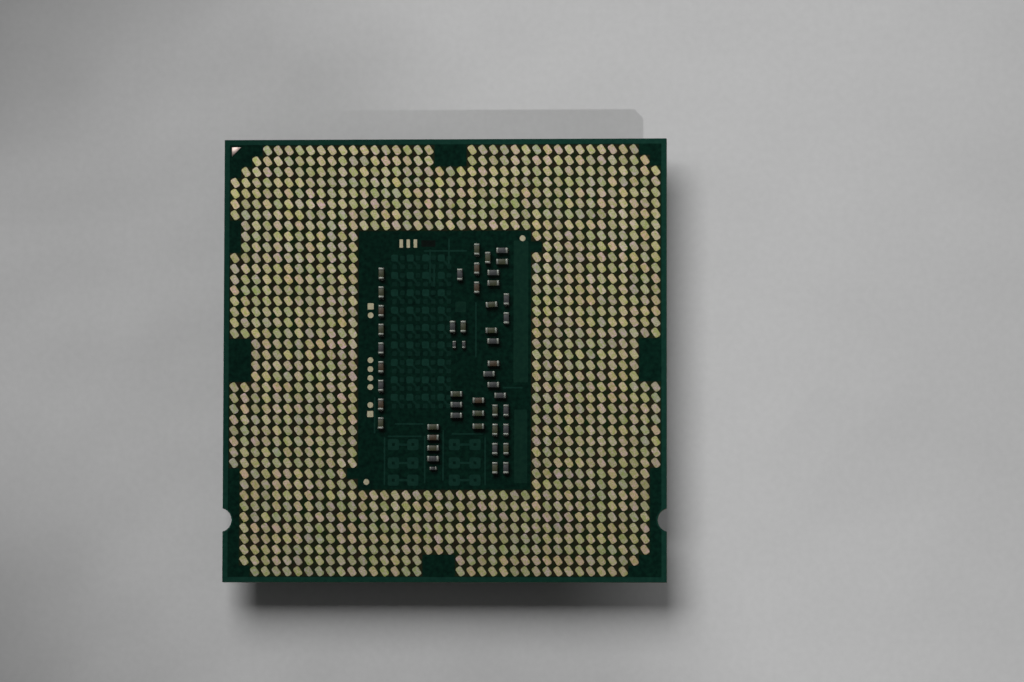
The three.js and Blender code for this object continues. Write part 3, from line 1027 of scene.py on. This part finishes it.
def paper_with_painted_shade():
    material = empty_material("paper_with_painted_shade")
    tone = two_tones(material, "#cacaca", "#cecece", PAPER_FIBRE, detail=6.0)
    place = add(material, "ShaderNodeTexCoord").outputs["Object"]
    drift = add(material, "ShaderNodeTexNoise", {"Scale": 1 / (DENT * MM)}, {"Vector": place})
    spread = [SHADE_PATCH_DRIFT * MM] * 3
    settings = {"operation": "MULTIPLY_ADD", 1: spread}
    links = {0: drift.outputs["Color"], 2: place}
    wandering = add(material, "ShaderNodeVectorMath", settings, links).outputs[0]
    half_drift = SHADE_PATCH_DRIFT / 2
    # Each patch darkens the paper's colour towards its centre: painted shade for light falling off.
    for (x, y), near, far, darkest in PAINTED_SHADE_PATCHES:
        centre = [(x + half_drift) * MM, (y + half_drift) * MM, half_drift * MM]
        settings = {"operation": "DISTANCE", 1: centre}
        away = add(material, "ShaderNodeVectorMath", settings, {0: wandering}).outputs["Value"]
        limits = {"From Min": near * MM, "From Max": far * MM, "To Min": darkest}
        settings = {"interpolation_type": "SMOOTHSTEP", **limits}
        fade = add(material, "ShaderNodeMapRange", settings, {"Value": away}).outputs[0]
        settings = {"operation": "MULTIPLY"}
        tone = add(material, "ShaderNodeVectorMath", settings, {0: tone, 1: fade}).outputs[0]
    slow = blotches(material, FOLD, -1.0, 1.0, detail=0.0, stretch=FOLD_STRETCH)
    folds = add(material, "ShaderNodeMath", {"operation": "ABSOLUTE"}, {0: slow}).outputs[0]
    dents = blotches(material, DENT, detail=2.0)
    settings = {"operation": "MULTIPLY_ADD", 1: FOLD_SHARE}
    height = add(material, "ShaderNodeMath", settings, {0: folds, 2: dents}).outputs[0]
    settings = {"Strength": 1.0, "Distance": DENT_DEPTH * MM}
    bump = add(material, "ShaderNodeBump", settings, {"Height": height})
    return close_material(material, MATT_PAPER, {
        "Base Color": tone,
        "Normal": bump.outputs["Normal"],
    })


# %% [markdown]
# The sheet itself is one large square. It reaches metres away, so that in a view from low down its
# far edge lies close to the horizon.

# %% Floor
FLOOR_SIZE = 12.0

sheet = bmesh.new()
bmesh.ops.create_grid(sheet, x_segments=1, y_segments=1, size=FLOOR_SIZE / 2)
floor_mesh = as_mesh(sheet, "paper_floor")
floor_mesh.materials.append(paper_with_painted_shade())
floor = bpy.data.objects.new("paper_floor", floor_mesh)
bpy.context.scene.collection.objects.link(floor)
print("floor", FLOOR_SIZE, "m")

# %% [markdown]
# ## Window light
# The main light is one large soft window overhead, to the back and left, so the shadow falls to
# the front and right with a dark core and a wide soft edge. Its size and place are written as
# slopes, the sideways distance for each unit of height, because those alone set how wide the soft
# edge of a shadow is.

# %% Window
WINDOW_SLOPES_X = (-0.83, 0.05)
WINDOW_SLOPES_Y = (0.42, 1.45)
WINDOW_HEIGHT = 2.5
WINDOW_POWER = 118.5


def window():
    data = bpy.data.lights.new("window", "AREA")
    data.shape = "RECTANGLE"
    (left, right), (front, back) = WINDOW_SLOPES_X, WINDOW_SLOPES_Y
    data.size = (right - left) * WINDOW_HEIGHT
    data.size_y = (back - front) * WINDOW_HEIGHT
    data.energy = WINDOW_POWER
    light = bpy.data.objects.new("window", data)
    light.location = Vector(((left + right) / 2, (front + back) / 2, 1.0)) * WINDOW_HEIGHT
    bpy.context.scene.collection.objects.link(light)


window()
print("window", WINDOW_POWER, "W")

# %% [markdown]
# ## Lamp and flag
# A small lamp to the front right adds a thin, crisp shadow on the far side. A black card, which
# studios call a flag, keeps it off the left and the front. Its shade on the table is a disc so
# large that its edge is nearly a straight line. The card itself hangs a third of the way up, so
# it is smaller than its shade in that proportion.

# %% Lamp and flag
LAMP_PLACE = Vector((0.685, -0.685, 1.0))
LAMP_RADIUS = 0.014
LAMP_POWER = 18.0
BLACK_CARD = {"Base Color": linear("#1b1b1b"), "Roughness": 0.9}
FLAG_SEGMENTS = 96
FLAG_SHADE_CENTRE = Vector((-0.216, -0.109, 0.0))
FLAG_SHADE_RADIUS = 0.25
FLAG_HEIGHT = 0.35


def lamp():
    data = bpy.data.lights.new("lamp", "POINT")
    data.energy = LAMP_POWER
    data.shadow_soft_size = LAMP_RADIUS
    light = bpy.data.objects.new("lamp", data)
    light.location = LAMP_PLACE
    bpy.context.scene.collection.objects.link(light)


def flag():
    share = 1 - FLAG_HEIGHT / LAMP_PLACE.z
    card = bmesh.new()
    radius = FLAG_SHADE_RADIUS * share
    bmesh.ops.create_circle(card, cap_ends=True, segments=FLAG_SEGMENTS, radius=radius)
    place = LAMP_PLACE + (FLAG_SHADE_CENTRE - LAMP_PLACE) * share
    bmesh.ops.translate(card, verts=card.verts, vec=place)
    mesh = as_mesh(card, "lamp_flag")
    mesh.materials.append(close_material(empty_material("black_card"), BLACK_CARD))
    card_object = bpy.data.objects.new("lamp_flag", mesh)
    bpy.context.scene.collection.objects.link(card_object)


lamp()
flag()
print("lamp", LAMP_POWER, "W")

# %% [markdown]
# ## Room
# A weak grey sky stands for the light that the walls of the room throw back. It keeps the shadow
# from going black.

# %% Room light
SKY = 0.072

world = bpy.data.worlds.new("room")
world.use_nodes = True
room = world.node_tree.nodes["Background"]
room.inputs["Color"].default_value = linear("#ffffff")
room.inputs["Strength"].default_value = SKY
bpy.context.scene.world = world
bpy.context.scene.view_settings.view_transform = "Standard"
print("sky", SKY)
